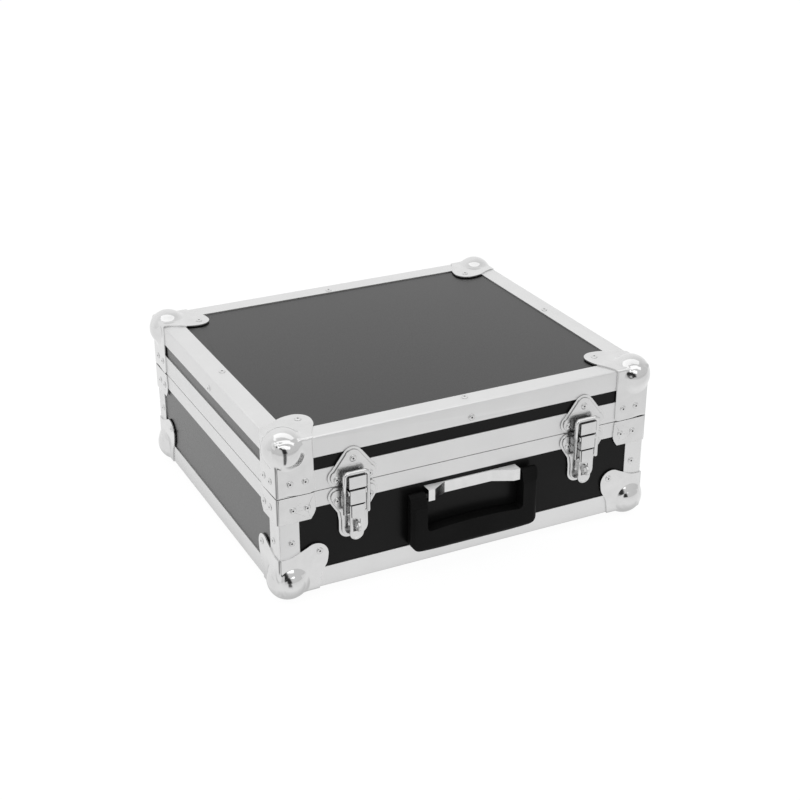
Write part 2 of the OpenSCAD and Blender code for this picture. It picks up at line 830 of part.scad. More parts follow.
module latch_lever_right() color(bright) placed() at_latch(1) lever();
module latch_bail_left() color(bright) placed() at_latch(-1) bail();
module latch_bail_right() color(bright) placed() at_latch(1) bail();
module latch_keeper_left() color(bright) placed() difference() {
    at_latch(-1) keeper();
    lid_front_holes();
}
module latch_keeper_right() color(bright) placed() difference() {
    at_latch(1) keeper();
    lid_front_holes();
}

// handle, also drawn in the face frame of the front
module cup(side, foot) {
    // one end of the bracket: the sheet ramps up from its foot and ends in a box around the pin
    low = cup_top - cup_h;
    mirror([side > 0 ? 0 : 1, 0, 0]) difference() {
        union() {
            translate([0, cup_top - sheet_l, 0]) rotate([-90, 0, 0]) mirror([0, 1, 0])
                linear_extrude(height = sheet_l)
                polygon([[foot, -skin], [cup_out, -skin], [cup_out, cup_front],
                    [cup_out - cup_w, cup_front]]);
            translate([cup_out - cup_w, low, cup_front - sheet_l]) cube([cup_w, cup_h, sheet_l]);
            translate([cup_out - sheet_l, low, -skin]) cube([sheet_l, cup_h, skin + cup_front]);
            translate([0, low, 0]) rotate([-90, 0, 0]) mirror([0, 1, 0])
                linear_extrude(height = cup_h)
                polygon([[foot - 1, -skin], [foot + 1.8, -skin], [cup_out - cup_w + 1.6, cup_front],
                    [cup_out - cup_w, cup_front], [foot, 0], [foot - 1, 0]]);
        }
        translate([cup_out, pivot_z, pivot_out]) rotate([0, 90, 0])
            cylinder(r = handle_pin_d / 2 + fit, h = 10, center = true, $fn = 32);
    }
}
module handle_bracket() color(bright) placed() difference() {
    on_front() {
        cup(1, ramp_right);
        cup(-1, ramp_left);
        translate([-ramp_left - 0.5, cup_top - cup_h, -skin])
            cube([ramp_left + ramp_right + 1, cup_h, sheet_l]);
    }
    base_front_holes();
}
module handle_pins() color(satin) placed() on_front() {
    for (s = [-1, 1]) mirror([s > 0 ? 0 : 1, 0, 0]) translate([0, pivot_z, pivot_out]) rotate([0, 90, 0]) {
        translate([0, 0, pin_in]) cylinder(r = handle_pin_d / 2, h = pin_end - pin_in, $fn = 32);
        translate([0, 0, pin_in - 0.4]) cylinder(r = handle_pin_d / 2 + 0.5, h = 2.2, $fn = 32);
    }
}
module rounded_rect(x0, y0, x1, y1, r) {
    union() {
        translate([x0 + r, y0]) square([x1 - x0 - 2 * r, y1 - y0]);
        translate([x0, y0 + r]) square([x1 - x0, y1 - y0 - 2 * r]);
        for (x = [x0 + r, x1 - r], y = [y0 + r, y1 - r])
            translate([x, y]) circle(r = r, $fn = 48);
    }
}
module handle_side(front) {
    // drawn as [up, out]
    union() {
        translate([pivot_z, pivot_out]) circle(r = arm_top_r, $fn = 64);
        rounded_rect(handle_low, handle_back, pivot_z - 4, front, 4.8);
        polygon([[pivot_z - 14, handle_back], [pivot_z, handle_back], [pivot_z, pivot_out + arm_top_r],
            [pivot_z - 10, front], [pivot_z - 14, front]]);
    }
}
module handle_front(half, top) {
    // front view: a block whose lower edge sags a little and runs into round outer corners
    corner_r = 11;
    sag_r = 640;
    reach = sag_r - corner_r;
    corner_x = half - corner_r;
    corner_z = handle_low + sag_r - sqrt(reach * reach - corner_x * corner_x);
    touch_x = corner_x * sag_r / reach;
    union() {
        intersection() {
            translate([0, handle_low + sag_r]) circle(r = sag_r, $fn = 360);
            translate([-touch_x, handle_low - 1]) square([2 * touch_x, corner_z - handle_low + 1]);
        }
        for (s = [-1, 1])
            translate([s * corner_x, corner_z]) circle(r = corner_r, $fn = 64);
        translate([-half, corner_z]) square([2 * half, top - corner_z]);
    }
}
module handle_grip() color(plastic) placed() on_front() {
    half = handle_w / 2;
    front = handle_back + handle_t;
    top = pivot_z + arm_top_r;
    grip_top = handle_low + grip_h;
    arch_r = 440;
    difference() {
        intersection() {
            linear_extrude(height = front) difference() {
                handle_front(half, top + far / 2);
                difference() {
                    rounded_rect(-arm_in, grip_top - 2.4, arm_in, top + far, 4);
                    translate([0, grip_top - arch_r]) circle(r = arch_r, $fn = 360);
                }
            }
            // side view: round pivot end at the top and a round grip at the bottom
            translate([-half, 0, 0]) rotate([90, 0, 90])
                linear_extrude(height = handle_w) handle_side(front);
            // view from above: round outer edges
            translate([0, handle_low - 1, 0]) rotate([-90, 0, 0]) mirror([0, 1, 0])
                linear_extrude(height = 2 * far)
                rounded_rect(-half, handle_back, half, front, 4.8);
        }
        for (s = [-1, 1])
            translate([s * (arm_in + pin_end) / 2, pivot_z, pivot_out]) rotate([0, 90, 0])
                cylinder(r = handle_pin_d / 2 + pin_gap, h = pin_end - arm_in + 0.6, center = true,
                    $fn = 32);
    }
}

// hinges, drawn in the face frame of the back; the axis runs along x at the parting line
module at_hinges() {
    on_back() {
        translate([-hinge_x, 0, 0]) children();
        translate([hinge_x, 0, 0]) children();
    }
}
// the five knuckles of a hinge take turns: three on the base leaf and two on the lid leaf
function knuckle_at(k) = -hinge_w / 2 + k * hinge_w / 5;
module knuckle(k, up) {
    run = hinge_w / 5 - knuckle_gap;
    translate([knuckle_at(k), parting, hinge_out]) rotate([0, 90, 0])
        cylinder(r = knuckle_r, h = run, $fn = 48);
    translate([knuckle_at(k), up > 0 ? parting + 0.4 : parting - leaf_drop - 1, 0])
        cube([run, leaf_drop + 0.6, 2.6]);
}
module stop_lip(angle, up) {
    // the flat side of the lip looks away from the axis at the given angle from the horizontal
    // drawn as [up, out] from the axis
    root = knuckle_r + 1.2;
    back = leaf_t - hinge_out - 0.6;
    tip_up = lip_reach * sin(angle);
    tip_out = lip_reach * cos(angle);
    translate([-hinge_w / 2, parting, hinge_out]) rotate([90, 0, 90]) linear_extrude(height = lip_w)
        mirror([up > 0 ? 0 : 1, 0])
        polygon([[root * sin(angle), root * cos(angle)], [tip_up, tip_out], [tip_up + 1.2, tip_out - 1.2],
            [leaf_drop + 4.4, back], [leaf_drop + 0.2, back]]);
}
module pin_hole() {
    translate([-hinge_w, parting, hinge_out]) rotate([0, 90, 0])
        cylinder(r = hinge_pin_r + fit, h = 2 * hinge_w, $fn = 32);
}
module hinge_base_leaves() color(bright) placed() difference() {
    at_hinges() difference() {
        union() {
            translate([-hinge_w / 2, parting - leaf_drop - base_leaf_h + 4, 0])
                cube([hinge_w - knuckle_gap, base_leaf_h - 4, leaf_t]);
            for (k = [0, 2, 4]) knuckle(k, -1);
            stop_lip(base_lip_angle, -1);
        }
        pin_hole();
    }
    base_back_holes();
}
module hinge_lid_leaves() color(bright) placed() difference() {
    at_hinges() difference() {
        union() {
            translate([-hinge_w / 2, parting + leaf_drop, 0])
                cube([hinge_w - knuckle_gap, lid_leaf_h - leaf_drop, leaf_t]);
            for (k = [1, 3]) knuckle(k, 1);
            stop_lip(lid_lip_angle, 1);
        }
        pin_hole();
    }
    lid_back_holes();
}
module hinge_pins() color(satin) placed() at_hinges()
    translate([-hinge_w / 2, parting, hinge_out]) rotate([0, 90, 0])
    cylinder(r = hinge_pin_r, h = hinge_w - knuckle_gap, $fn = 32);

// lid nodes
module lid_top_panel() color(laminate) placed() difference() {
    snipped_board(lid_wall_top);
    top_holes();
}
module lid_front_panel() color(laminate) placed() difference() {
    long_wall(lid_wall_bottom, lid_wall_top);
    lid_front_holes();
}
module lid_back_panel() color(laminate) placed() difference() {
    to_bl() long_wall(lid_wall_bottom, lid_wall_top);
    lid_back_holes();
}
module lid_left_panel() color(laminate) placed() difference() {
    short_wall(lid_wall_bottom, lid_wall_top);
    lid_left_holes();
}
module lid_right_panel() color(laminate) placed() difference() {
    to_fr() short_wall(lid_wall_bottom, lid_wall_top);
    lid_right_holes();
}
module lid_front_rim() color(satin) placed() difference() {
    front_bar() lid_rim_section();
    lid_front_holes();
}
module lid_back_rim() color(satin) placed() difference() {
    to_bl() front_bar() lid_rim_section();
    lid_back_holes();
}
module lid_left_rim() color(satin) placed() difference() {
    side_bar() lid_rim_section();
    lid_left_holes();
}
module lid_right_rim() color(satin) placed() difference() {
    to_fr() side_bar() lid_rim_section();
    lid_right_holes();
}
module lid_front_angle() color(satin) placed() difference() {
    on_top() mirror([0, 0, 1]) front_angle();
    lid_front_holes();
    top_holes();
}
module lid_back_angle() color(satin) placed() difference() {
    to_bl() on_top() mirror([0, 0, 1]) front_angle();
    lid_back_holes();
    top_holes();
}
module lid_left_angle() color(satin) placed() difference() {
    on_top() mirror([0, 0, 1]) side_angle();
    lid_left_holes();
    top_holes();
}
module lid_right_angle() color(satin) placed() difference() {
    to_fr() on_top() mirror([0, 0, 1]) side_angle();
    lid_right_holes();
    top_holes();
}
module lid_corner_fl() color(bright) placed() difference() {
    lid_corner();
    lid_holes();
}
module lid_corner_fr() color(bright) placed() difference() {
    to_fr() lid_corner();
    lid_holes();
}
module lid_corner_bl() color(bright) placed() difference() {
    to_bl() lid_corner();
    lid_holes();
}
module lid_corner_br() color(bright) placed() difference() {
    to_br() lid_corner();
    lid_holes();
}
module lid_rivets() color(bright) placed() {
    on_front() at_spots(lid_front_spots) rivet();
    on_back() at_spots(lid_back_spots) rivet();
    on_left() at_spots(lid_side_spots) rivet();
    on_right() at_spots(lid_side_spots) rivet();
    on_top() at_spots(flat_spots) rivet();
}

base_floor();
base_front_panel();
base_back_panel();
base_left_panel();
base_right_panel();
base_front_rim();
base_back_rim();
base_left_rim();
base_right_rim();
base_front_angle();
base_back_angle();
base_left_angle();
base_right_angle();
base_uprights();
base_corner_fl();
base_corner_fr();
base_corner_bl();
base_corner_br();
corner_braces();
latch_plate_left();
latch_plate_right();
latch_staple_left();
latch_staple_right();
latch_axles();
handle_bracket();
handle_pins();
hinge_base_leaves();
hinge_pins();
base_rivets();
lid_top_panel();
lid_front_panel();
lid_back_panel();
lid_left_panel();
lid_right_panel();
lid_front_rim();
lid_back_rim();
lid_left_rim();
lid_right_rim();
lid_front_angle();
lid_back_angle();
lid_left_angle();
lid_right_angle();
lid_corner_fl();
lid_corner_fr();
lid_corner_bl();
lid_corner_br();
latch_keeper_left();
latch_keeper_right();
hinge_lid_leaves();
lid_rivets();
latch_lever_left();
latch_lever_right();
latch_bail_left();
latch_bail_right();
handle_grip();
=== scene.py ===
# Flight case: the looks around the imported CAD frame. Lengths are written in millimetres, unless a comment
# gives them in metres.
import math

import bmesh
import bpy
from mathutils import Matrix, Vector
from mathutils.geometry import delaunay_2d_cdt


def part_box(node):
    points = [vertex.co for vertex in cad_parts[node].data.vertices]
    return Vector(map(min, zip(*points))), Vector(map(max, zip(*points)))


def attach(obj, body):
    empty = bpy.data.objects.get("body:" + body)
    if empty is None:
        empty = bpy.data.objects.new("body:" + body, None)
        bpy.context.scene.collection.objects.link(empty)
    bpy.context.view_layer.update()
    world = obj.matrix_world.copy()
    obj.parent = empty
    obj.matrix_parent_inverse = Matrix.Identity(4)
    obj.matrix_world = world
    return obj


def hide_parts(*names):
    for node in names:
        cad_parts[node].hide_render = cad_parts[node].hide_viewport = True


MM = 0.001
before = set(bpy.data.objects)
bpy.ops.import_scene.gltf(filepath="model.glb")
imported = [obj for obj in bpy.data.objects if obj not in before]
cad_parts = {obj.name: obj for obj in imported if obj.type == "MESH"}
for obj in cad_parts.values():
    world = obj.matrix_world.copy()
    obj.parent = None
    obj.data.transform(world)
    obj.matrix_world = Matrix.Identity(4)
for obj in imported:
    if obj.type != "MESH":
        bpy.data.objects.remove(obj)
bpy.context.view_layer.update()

# sizes that the frame's source gives. The sheet of the corners and the outer radius of its folds:
SHEET = 1.2
FOLD_R = 2.6
# the balls: their centres lie this far in from the two upright faces, up from the bottom, down from the top
BALL_R = 19.2
BALL_IN = 11.8
BALL_UP = 10.2
BALL_DOWN = 11.1
# heights above the floor of the bottom face and of the parting line
BASE_LIFT = 8.7
PARTING = BASE_LIFT + 99.0
# the flanges: width and height of the lower ones, the rounded tabs, and width, run and foot of the upper ones
FLANGE_W = 40.0
FLANGE_H = 37.4
TAB_IN = 34.5
TAB_R = 12.6
TOP_TAB_R = 13.5
LID_FLANGE_W = 35.0
LID_RUN = 52.7
LID_FOOT = 4.4

# where the box of the case is in the frame, in metres
X0, X1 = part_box("base_left_rim")[0].x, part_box("base_right_rim")[1].x
Y0, Y1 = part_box("base_front_rim")[0].y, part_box("base_back_rim")[1].y
Z0, Z1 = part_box("base_front_angle")[0].z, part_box("lid_front_angle")[1].z


# shader nodes
def node(tree, kind, inputs=(), **settings):
    made = tree.nodes.new(kind)
    for key, value in settings.items():
        setattr(made, key, value)
    for key, value in dict(inputs).items():
        if isinstance(value, bpy.types.NodeSocket):
            tree.links.new(value, made.inputs[key])
        else:
            made.inputs[key].default_value = value
    return made


def math_node(tree, operation, first, second=0.0):
    return node(tree, "ShaderNodeMath", {0: first, 1: second}, operation=operation).outputs[0]


def product(tree, first, *others):
    for other in others:
        first = math_node(tree, "MULTIPLY", first, other)
    return first


def coordinates(tree, kind):
    return node(tree, "ShaderNodeTexCoord").outputs[kind]


def split_xyz(tree, vector):
    return node(tree, "ShaderNodeSeparateXYZ", {0: vector}).outputs


def noise(tree, place, scale, detail=3.0, stretch=(1, 1, 1)):
    mapped = node(tree, "ShaderNodeMapping", {"Vector": place, "Scale": stretch})
    return node(tree, "ShaderNodeTexNoise", {"Vector": mapped.outputs[0], "Scale": scale,
                "Detail": detail, "Roughness": 0.5}).outputs["Fac"]


def spread(tree, fac, low, high, from_low=0.3, from_high=0.7):
    """Runs from low to high while fac runs from from_low to from_high, the usual reach of a noise."""
    return node(tree, "ShaderNodeMapRange", {"Value": fac, "From Min": from_low, "From Max": from_high,
                "To Min": low, "To Max": high}).outputs[0]


def mix_value(tree, fac, low, high):
    return node(tree, "ShaderNodeMix", {"Factor": fac, 2: low, 3: high}).outputs[0]


def mix(tree, fac, low, high):
    return node(tree, "ShaderNodeMix", {"Factor": fac, 6: low, 7: high}, data_type="RGBA").outputs[2]


def rgb(value):
    if isinstance(value, (int, float)):
        value = (value, value, value)
    return (*value, 1.0)


def ramp(tree, fac, low, high):
    return mix(tree, spread(tree, fac, 0, 1), rgb(low), rgb(high))


def bump(tree, height, strength, depth, normal=None):
    inputs = {"Height": height, "Strength": strength, "Distance": depth * MM}
    if normal is not None:
        inputs["Normal"] = normal
    return node(tree, "ShaderNodeBump", inputs).outputs[0]


# materials
def material(name):
    made = bpy.data.materials.new(name)
    made.use_nodes = True
    tree = made.node_tree
    tree.nodes.clear()
    out = node(tree, "ShaderNodeOutputMaterial")
    shader = node(tree, "ShaderNodeBsdfPrincipled")
    tree.links.new(shader.outputs["BSDF"], out.inputs["Surface"])
    return made, tree, shader, coordinates(tree, "Object")


def wire(tree, shader, **sockets):
    for key, value in sockets.items():
        name = key.replace("_", " ")
        if isinstance(value, bpy.types.NodeSocket):
            tree.links.new(value, shader.inputs[name])
        else:
            shader.inputs[name].default_value = value


# scale of a noise along an extrusion, and by axis for the rolling lines of sheet steel: under 1 draws it out
DRAWN = 0.012
ROLLED = (1.0, 0.25, 1.0)


def aluminium(axis):
    """Satin anodised extrusion, with fine drawing lines along its length."""
    made, tree, shader, place = material("edging_" + "xyz"[axis])
    along = [1.0, 1.0, 1.0]
    along[axis] = DRAWN
    lines = noise(tree, place, 2600, 2.0, along)
    cloud = noise(tree, place, 38)
    wire(tree, shader, Metallic=1.0, Base_Color=ramp(tree, cloud, 0.72, 0.75),
         Roughness=spread(tree, cloud, 0.37, 0.40), Normal=bump(tree, lines, 0.05, 0.02))
    return made


def rolling_lines(tree, place, normal=None):
    return bump(tree, noise(tree, place, 1500, 2.0, ROLLED), 0.06, 0.02, normal)


# painted shade on the folds of the corners, a dark line standing in for a dark reflection: where it sets in
# and where it ends, measured out from the sides of the box, and how far above the bottom and below the top of
# the case it sets in
FOLD_SHADE_START = (-0.5, 0.2)
FOLD_SHADE_END = (1.3, 1.7)
FOLD_SHADE_ABOVE = (23, 26)
FOLD_SHADE_BELOW = (20, 22)
FOLD_SHADE_TONE = 0.15
# painted shade at the joints of two sheets, where the gap between them lies in shadow, and how soft its edges
# are
SEAM_SHADE_TONE = 0.04
SEAM_SHADE_EDGE = 0.25
# painted shade in narrow gaps, taken from ambient occlusion, and how open a gap is where it starts and ends
OCCLUSION_SHADE_TONE = 0.10
OCCLUSION_SHADE_OPEN = (0.25, 0.8)


def fold_shade_shares(tree, split):
    """Factors whose product is 1 on the four upright folds of the case and 0 elsewhere."""
    shares = []
    for axis, start, end in ((0, X0, X1), (1, Y0, Y1)):
        half = (end - start) / 2
        away = math_node(tree, "ABSOLUTE", math_node(tree, "SUBTRACT", split[axis], (start + end) / 2))
        shares.append(spread(tree, away, 0.0, 1.0, *(half + out * MM for out in FOLD_SHADE_START)))
        shares.append(spread(tree, away, 1.0, 0.0, *(half + out * MM for out in FOLD_SHADE_END)))
    shares.append(spread(tree, split[2], 0.0, 1.0, *(Z0 + up * MM for up in FOLD_SHADE_ABOVE)))
    shares.append(spread(tree, split[2], 0.0, 1.0, *(Z1 - down * MM for down in FOLD_SHADE_BELOW)))
    return shares


def bright_steel(name="plated_steel", low=0.67, high=0.72, rough=(0.07, 0.12), folds=False, recess=0.0,
                 seams=()):
    """Plated pressed steel: slightly hazy, with handling marks.

    folds paints shade along the upright folds of the case, recess is the reach of the painted shade in narrow
    gaps, and seams are pairs of heights between which shade is painted where a joint of two sheets lies."""
    made, tree, shader, place = material(name)
    haze = noise(tree, place, 85, 4.0)
    pressed = bump(tree, noise(tree, place, 130, 1.0), 0.03, 0.12)
    colour = ramp(tree, haze, low, high)
    split = split_xyz(tree, place) if folds or seams else None
    if folds:
        # painted shade: a dark line along the upright folds, standing in for a dark reflection, mottled by
        # the haze
        dull = product(tree, spread(tree, haze, 0.75, 1.0), *fold_shade_shares(tree, split))
        colour = mix(tree, dull, colour, rgb(FOLD_SHADE_TONE))
    # painted shade in bands across the part, over the gaps between its pieces
    for start, end in seams:
        inside = product(tree, spread(tree, split[2], 0.0, 1.0, start * MM, (start + SEAM_SHADE_EDGE) * MM),
                         spread(tree, split[2], 1.0, 0.0, (end - SEAM_SHADE_EDGE) * MM, end * MM))
        colour = mix(tree, inside, colour, rgb(SEAM_SHADE_TONE))
    if recess:
        # painted shade in narrow gaps: the colour darkens where ambient occlusion finds the gap closed
        share = node(tree, "ShaderNodeAmbientOcclusion", {"Distance": recess * MM}, samples=8).outputs["AO"]
        colour = mix(tree, spread(tree, share, 0.0, 1.0, *OCCLUSION_SHADE_OPEN), rgb(OCCLUSION_SHADE_TONE), colour)
    wire(tree, shader, Metallic=1.0, Base_Color=colour, Roughness=spread(tree, haze, *rough),
         Normal=rolling_lines(tree, place, pressed))
    return made


def bracket_steel():
    """Zinc-plated bracket: mirror-like on its upright faces, dull with dust on those that look up."""
    made, tree, shader, place = material("bracket_zinc")
    haze = noise(tree, place, 110, 4.0)
    up = split_xyz(tree, coordinates(tree, "Normal"))[2]
    dust = spread(tree, up, 0.0, 1.0, 0.35, 0.7)
    wire(tree, shader, Metallic=spread(tree, dust, 1.0, 0.15, 0.0, 1.0),
         Base_Color=ramp(tree, haze, 0.72, 0.78),
         Roughness=spread(tree, math_node(tree, "ADD", dust, haze), 0.12, 0.5, 0.4, 1.5),
         Normal=rolling_lines(tree, place))
    return made


def moulded_black():
    made, tree, shader, place = material("moulded_black")
    grain = noise(tree, place, 1100, 4.0)
    wire(tree, shader, Base_Color=ramp(tree, noise(tree, place, 30, 2.0), 0.0035, 0.0055),
         Roughness=spread(tree, grain, 0.42, 0.55), Normal=bump(tree, grain, 0.25, 0.06), IOR=1.16)
    return made


# painted sheen: the one laminate gets a different index of refraction by the direction of its panel, so that
# each panel is as bright as the photo shows it
PANEL_SHEEN_IOR = (1.79, 1.225, 1.45)
# how deep the black laminate goes, and how far the plies turn in a millimetre of depth, in radians
LAMINATE_DEPTH = 0.7
PLY_TURN = 2.6
# scale of a noise along the grain of the wood, and the tones of the wood, its pores and its glue lines
WOOD_GRAIN = 0.05
WOOD_DARK, WOOD_LIGHT = (0.52, 0.36, 0.21), (0.66, 0.49, 0.31)
WOOD_PORE, WOOD_GLUE = (0.36, 0.22, 0.11), (0.34, 0.22, 0.13)


def laminate(axis, outer, inward):
    """Plywood panel: black grained laminate on the outer face, birch plies and veneer behind it.

    axis is the panel's normal, outer the place of its outer face in metres and inward the sign of the way
    in."""
    made, tree, shader, place = material("laminate_%s_%d" % ("xyz"[axis], round(outer / MM)))
    depth = math_node(tree, "SUBTRACT", split_xyz(tree, place)[axis], outer)
    depth = product(tree, depth, inward / MM)
    inside = math_node(tree, "GREATER_THAN", depth, LAMINATE_DEPTH)
    grain = noise(tree, place, 1700, 2.0)
    pore = node(tree, "ShaderNodeTexVoronoi", {"Vector": place, "Scale": 900.0}).outputs["Distance"]
    black = ramp(tree, noise(tree, place, 9, 2.0), 0.0045, 0.0065)
    # plies of turning grain, with the veneer that shows on the inner face
    ply = math_node(tree, "SINE", product(tree, depth, PLY_TURN))
    stretch = [1.0, 1.0, 1.0]
    stretch[0 if axis else 1] = WOOD_GRAIN
    veneer = noise(tree, place, 330, 4.0, stretch)
    wood = ramp(tree, noise(tree, place, 26, 3.0, stretch), WOOD_DARK, WOOD_LIGHT)
    wood = mix(tree, spread(tree, veneer, 0.0, 0.28), wood, rgb(WOOD_PORE))
    wood = mix(tree, spread(tree, ply, 0.0, 0.25, -0.2, 0.8), wood, rgb(WOOD_GLUE))
    height = mix(tree, inside, math_node(tree, "ADD", grain, pore), veneer)
    rough = mix(tree, inside, spread(tree, grain, 0.24, 0.34), spread(tree, veneer, 0.55, 0.7))
    wire(tree, shader, Base_Color=mix(tree, inside, black, wood), Roughness=rough,
         Normal=bump(tree, height, 0.12, 0.05), IOR=PANEL_SHEEN_IOR[axis])
    return made


ALONG = [aluminium(axis) for axis in range(3)]
STEEL = bright_steel(folds=True)
# the zinc of the latches and hinges, with painted shade in narrow gaps
ZINC = bright_steel("zinc_plate", 0.66, 0.71, (0.15, 0.23), recess=4.5)
# the levers' zinc, with painted shade in narrow gaps and two painted bands of shade over the gaps between
# their pieces
LEVER = bright_steel("lever_zinc", 0.66, 0.71, (0.12, 0.20), recess=4.0,
                     seams=((PARTING - 1.9, PARTING - 0.7), (PARTING - 17.0, PARTING - 15.0)))
BRACKET = bracket_steel()
DARK_PIN = bright_steel("dark_pin", 0.03, 0.06, (0.35, 0.5))
RIVET = bright_steel("rivet_metal", 0.64, 0.70, (0.16, 0.24))
# dark steel for the rivets' mandrels, which also paints shade on the walls of their holes
MANDREL_AND_HOLE_SHADE = bright_steel("rivet_mandrel_and_hole_shade", 0.04, 0.10, (0.35, 0.5))
BLACK = moulded_black()


# nodes carried over from the CAD: points this near are one, faces this flat are one (degrees), and edges
# sharper than this are softened (degrees), on the CAD nodes and on the rims of the new corners
WELD_REACH = 0.002
FLAT_ANGLE = 0.5
EDGE_ANGLE = 32
RIM_ANGLE = 50


def soft_edges(shape, name, width, segments, angle):
    edge = shape.modifiers.new(name, "BEVEL")
    edge.width = width * MM
    edge.segments = segments
    edge.limit_method = "ANGLE"
    edge.angle_limit = math.radians(angle)
    edge.harden_normals = True
    return edge


def dress(name, finish, width, segments=2, flat=False):
    """Gives a CAD node its material, and soft edges by modifiers.

    flat joins the triangles of each flat face first, so that the soft edges leave no lines in it."""
    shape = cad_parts[name]
    shape.data.materials.clear()
    shape.data.materials.append(finish)
    shape.data.polygons.foreach_set("material_index", [0] * len(shape.data.polygons))
    weld = shape.modifiers.new("weld", "WELD")
    weld.merge_threshold = WELD_REACH * MM
    if flat:
        join = shape.modifiers.new("flat_faces", "DECIMATE")
        join.decimate_type = "DISSOLVE"
        join.angle_limit = math.radians(FLAT_ANGLE)
    if width:
        soft_edges(shape, "soft_edges", width, segments, EDGE_ANGLE).miter_outer = "MITER_ARC"


# each panel's normal and its way in
PANELS = {
    "base_floor": (2, 1), "lid_top_panel": (2, -1),
    "base_front_panel": (1, 1), "lid_front_panel": (1, 1),
    "base_back_panel": (1, -1), "lid_back_panel": (1, -1),
    "base_left_panel": (0, 1), "lid_left_panel": (0, 1),
    "base_right_panel": (0, -1), "lid_right_panel": (0, -1),
}
for name, (axis, inward) in PANELS.items():
    low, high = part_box(name)
    dress(name, laminate(axis, (low if inward > 0 else high)[axis], inward), 0.25, 1)

for part in ("base", "lid"):
    for side, axis in (("front", 0), ("back", 0), ("left", 1), ("right", 1)):
        dress("%s_%s_rim" % (part, side), ALONG[axis], 0.3, flat=True)
        dress("%s_%s_angle" % (part, side), ALONG[axis], 0.5, 3, flat=True)
dress("base_uprights", ALONG[2], 0.5, 3, flat=True)
dress("corner_braces", STEEL, 0.3)
for side in ("left", "right"):
    for name in ("latch_plate_", "latch_keeper_", "latch_staple_"):
        dress(name + side, ZINC, 0.35, 3)
    dress("latch_lever_" + side, LEVER, 0.35, 3)
    dress("latch_bail_" + side, STEEL, 0.0)
dress("latch_axles", STEEL, 0.0)
for name in ("hinge_base_leaves", "hinge_lid_leaves", "hinge_pins"):
    dress(name, ZINC, 0.3)
dress("handle_bracket", BRACKET, 0.45, 3)
dress("handle_pins", DARK_PIN, 0.3)
dress("handle_grip", BLACK, 1.2, 4)


# new pieces
def finish_mesh(name, made, finish, body):
    data = bpy.data.meshes.new(name)
    made.to_mesh(data)
    made.free()
    data.materials.append(finish)
    data.polygons.foreach_set("use_smooth", [True] * len(data.polygons))
    shape = bpy.data.objects.new(name, data)
    bpy.context.scene.collection.objects.link(shape)
    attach(shape, body)
    return shape


def arc(centre, radius, start, end, steps):
    turns = [math.radians(start + (end - start) * k / steps) for k in range(steps + 1)]
    return [(centre[0] + radius * math.cos(turn), centre[1] + radius * math.sin(turn)) for turn in turns]


def softened(points):
    """Two rounds of corner cutting: the first and last points stay."""
    for _ in range(2):
        made = [points[0]]
        for a, b in zip(points, points[1:]):
            made.append((0.75 * a[0] + 0.25 * b[0], 0.75 * a[1] + 0.25 * b[1]))
            made.append((0.25 * a[0] + 0.75 * b[0], 0.25 * a[1] + 0.75 * b[1]))
        made.append(points[-1])
        points = made
    return points


# the outlines of the flanges, from the foot of one fold round to the foot of the other
FLAT_EDGE = FLANGE_W - 5
FLAT_OUTLINE = softened(
    [(FLAT_EDGE, -SHEET), (FLAT_EDGE + 1, 4), (FLANGE_W - 1, 11), (FLANGE_W + 2.4, 16.8),
     (FLANGE_W + 6, 22.4), (TAB_IN + TOP_TAB_R - 0.4, 29)]
    + arc((TAB_IN, TAB_IN), TOP_TAB_R, 0, 90, 12)
    + [(29, TAB_IN + TOP_TAB_R - 0.4), (22.4, FLANGE_W + 6), (16.8, FLANGE_W + 2.4),
       (11, FLANGE_W - 1), (4, FLAT_EDGE + 1), (-SHEET, FLAT_EDGE)])
BASE_OUTLINE = softened(
    [(FLANGE_W - 2.3, -SHEET), (FLANGE_W - 2.1, 4), (FLANGE_W - 1.4, 9), (FLANGE_W - 0.1, 15.6),
     (FLANGE_W + 3, 20.6), (FLANGE_W + 6, 25.6)]
    + arc((TAB_IN, TAB_IN), TAB_R, -6, 126, 14)
    + [(20.5, 41.8), (14.5, FLANGE_H + 1.3), (8.5, FLANGE_H - 0.3), (-SHEET, FLANGE_H - 0.4)])
LID_OUTLINE = (
    [(LID_FLANGE_W, -SHEET), (LID_FLANGE_W, LID_RUN - LID_FOOT)]
    + arc((LID_FLANGE_W - LID_FOOT, LID_RUN - LID_FOOT), LID_FOOT, 0, 90, 8)[1:] + [(-SHEET, LID_RUN)])

# the skirt round the ball: how far out and in of the ball's meeting with a flange it reaches, and the
# same for the smoother rise along a fold, with the power of that rise
SKIRT_OUT = 1.65
SKIRT_IN = 3.35
RIDGE_OUT = 5.2
RIDGE_IN = 0.8
RIDGE_POWER = 1.15
# how far from a fold the one turns into the other, and how far the crease at the skirt's foot is rounded
FOLD_BLEND = 6
CREASE = 0.25
# height of the ball's centre, and how softly its skirt sets in
LOW_BALL = (BALL_UP, 0.75)
TOP_BALL = (BALL_DOWN, 1.4)


def rise_share(over, reach_in, reach_out, power):
    return reach_out * max(0.0, (over + reach_in) / (reach_out + reach_in)) ** power


